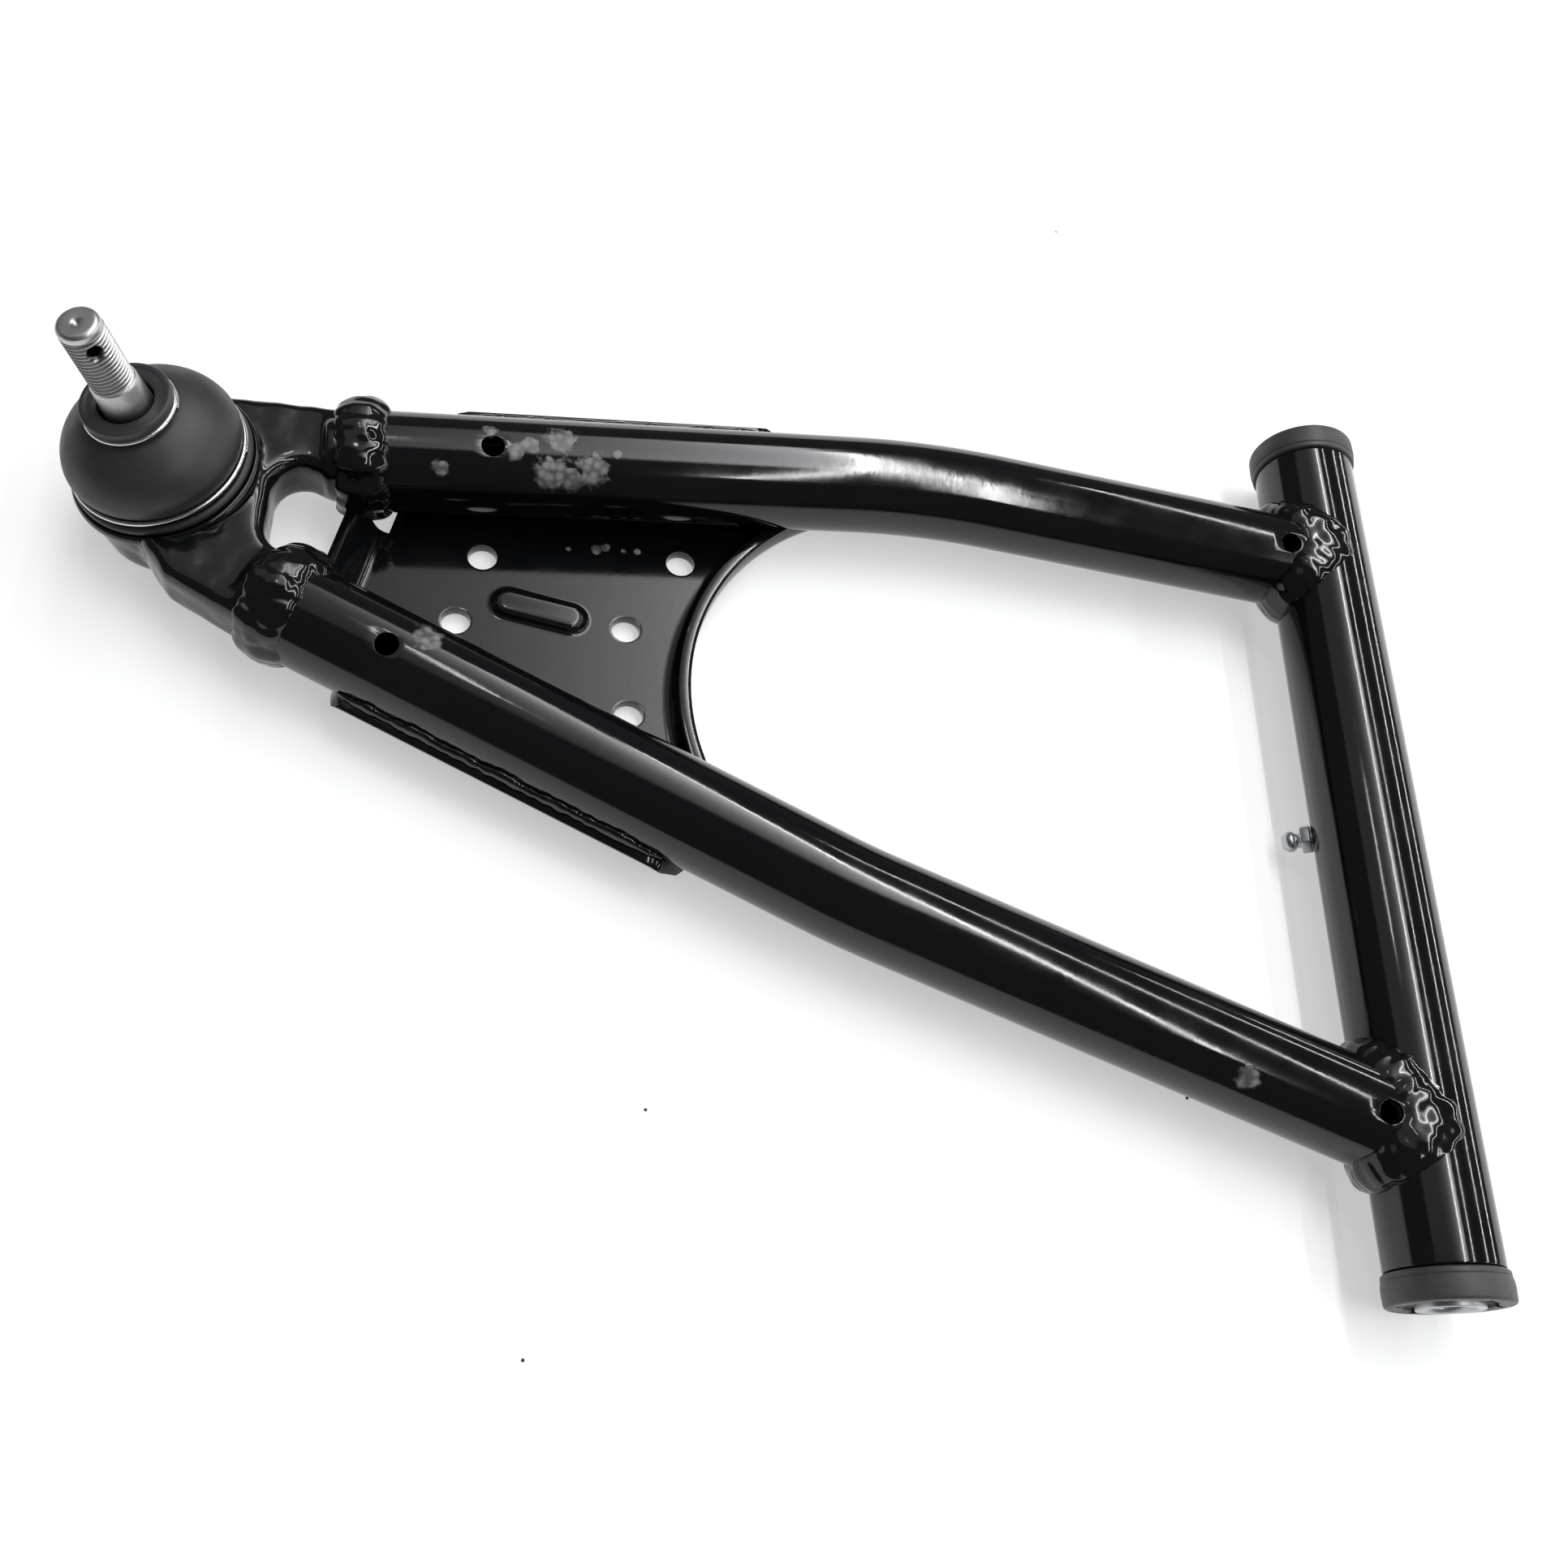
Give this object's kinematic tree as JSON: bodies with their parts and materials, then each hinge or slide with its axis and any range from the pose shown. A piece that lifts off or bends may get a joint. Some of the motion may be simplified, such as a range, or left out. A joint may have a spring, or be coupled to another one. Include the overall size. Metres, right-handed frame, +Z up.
{
  "type": "control arm",
  "caption": "Welded A-shaped suspension control arm with a ball joint at its nose, a greased pivot tube at its base and a pressed gusset plate.",
  "frame": {"origin": "centre of the bounding box's underside, on the surface that the arm lies on", "axes": "+X from the ball joint towards the pivot tube, +Y along the pivot axis towards the front tube's end, +Z up out of the arm's plane on the stud's side"},
  "size_m": [0.4086, 0.2846, 0.0838],
  "materials": {
    "gloss_black_paint": "gloss black paint with a light orange peel",
    "bush_plastic": "matte dark grey moulded plastic",
    "zinc_steel": "bright zinc plate",
    "machined_steel": "bare turned steel with a film of oil",
    "boot_rubber": "satin black rubber",
    "spring_wire": "bright drawn wire",
    "seat_plastic": "natural acetal",
    "preload_rubber": "dense black rubber"
  },
  "bodies": {
    "arm": {"pivot_tube": "gloss_black_paint", "front_arm_tube": "gloss_black_paint", "rear_arm_tube": "gloss_black_paint", "front_pivot_weld": "gloss_black_paint", "rear_pivot_weld": "gloss_black_paint", "front_nose_weld": "gloss_black_paint", "rear_nose_weld": "gloss_black_paint", "ball_joint_yoke": "gloss_black_paint", "gusset_plate": "gloss_black_paint", "front_lip_weld": "gloss_black_paint", "rear_lip_weld": "gloss_black_paint", "front_bush": "bush_plastic", "rear_bush": "bush_plastic", "grease_nipple": "zinc_steel", "housing_cover": "zinc_steel", "boot_anchor_band": "boot_rubber", "boot_base_wire": "spring_wire", "upper_ball_seat": "seat_plastic", "lower_ball_seat": "seat_plastic", "preload_ring": "preload_rubber"},
    "sleeve": {"pivot_sleeve": "zinc_steel"},
    "check_ball": {"nipple_check_ball": "machined_steel"},
    "boot": {"dust_boot": "boot_rubber"},
    "collar": {"boot_collar": "boot_rubber", "boot_top_wire": "spring_wire"},
    "stud": {"ball_stud": "machined_steel"}
  },
  "joints": [
    {"name": "sleeve_turn", "type": "hinge", "parent": "arm", "child": "sleeve", "pos_m": [0.18708, 0, 0.02028], "axis": [0, 1, 0], "continuous": true},
    {"name": "check_ball_travel", "type": "slide", "parent": "arm", "child": "check_ball", "axis": [0.8192, 0, 0.5736], "range_m": [0, 0.0012], "stiffness_N_per_m": 100, "springref_m": -0.001},
    {"name": "stud_rock", "type": "hinge", "parent": "arm", "child": "boot", "pos_m": [-0.17592, 0.0793, 0.02028], "axis": [0, 1, 0], "range_deg": [-25, 25], "deforming": ["dust_boot"]},
    {"name": "stud_tilt", "type": "hinge", "parent": "boot", "child": "collar", "pos_m": [-0.17592, 0.0793, 0.02028], "axis": [0.9744, 0, 0.225], "range_deg": [-15, 15]},
    {"name": "stud_spin", "type": "hinge", "parent": "collar", "child": "stud", "pos_m": [-0.17592, 0.0793, 0.02028], "axis": [-0.225, 0, 0.9744], "continuous": true}
  ]
}
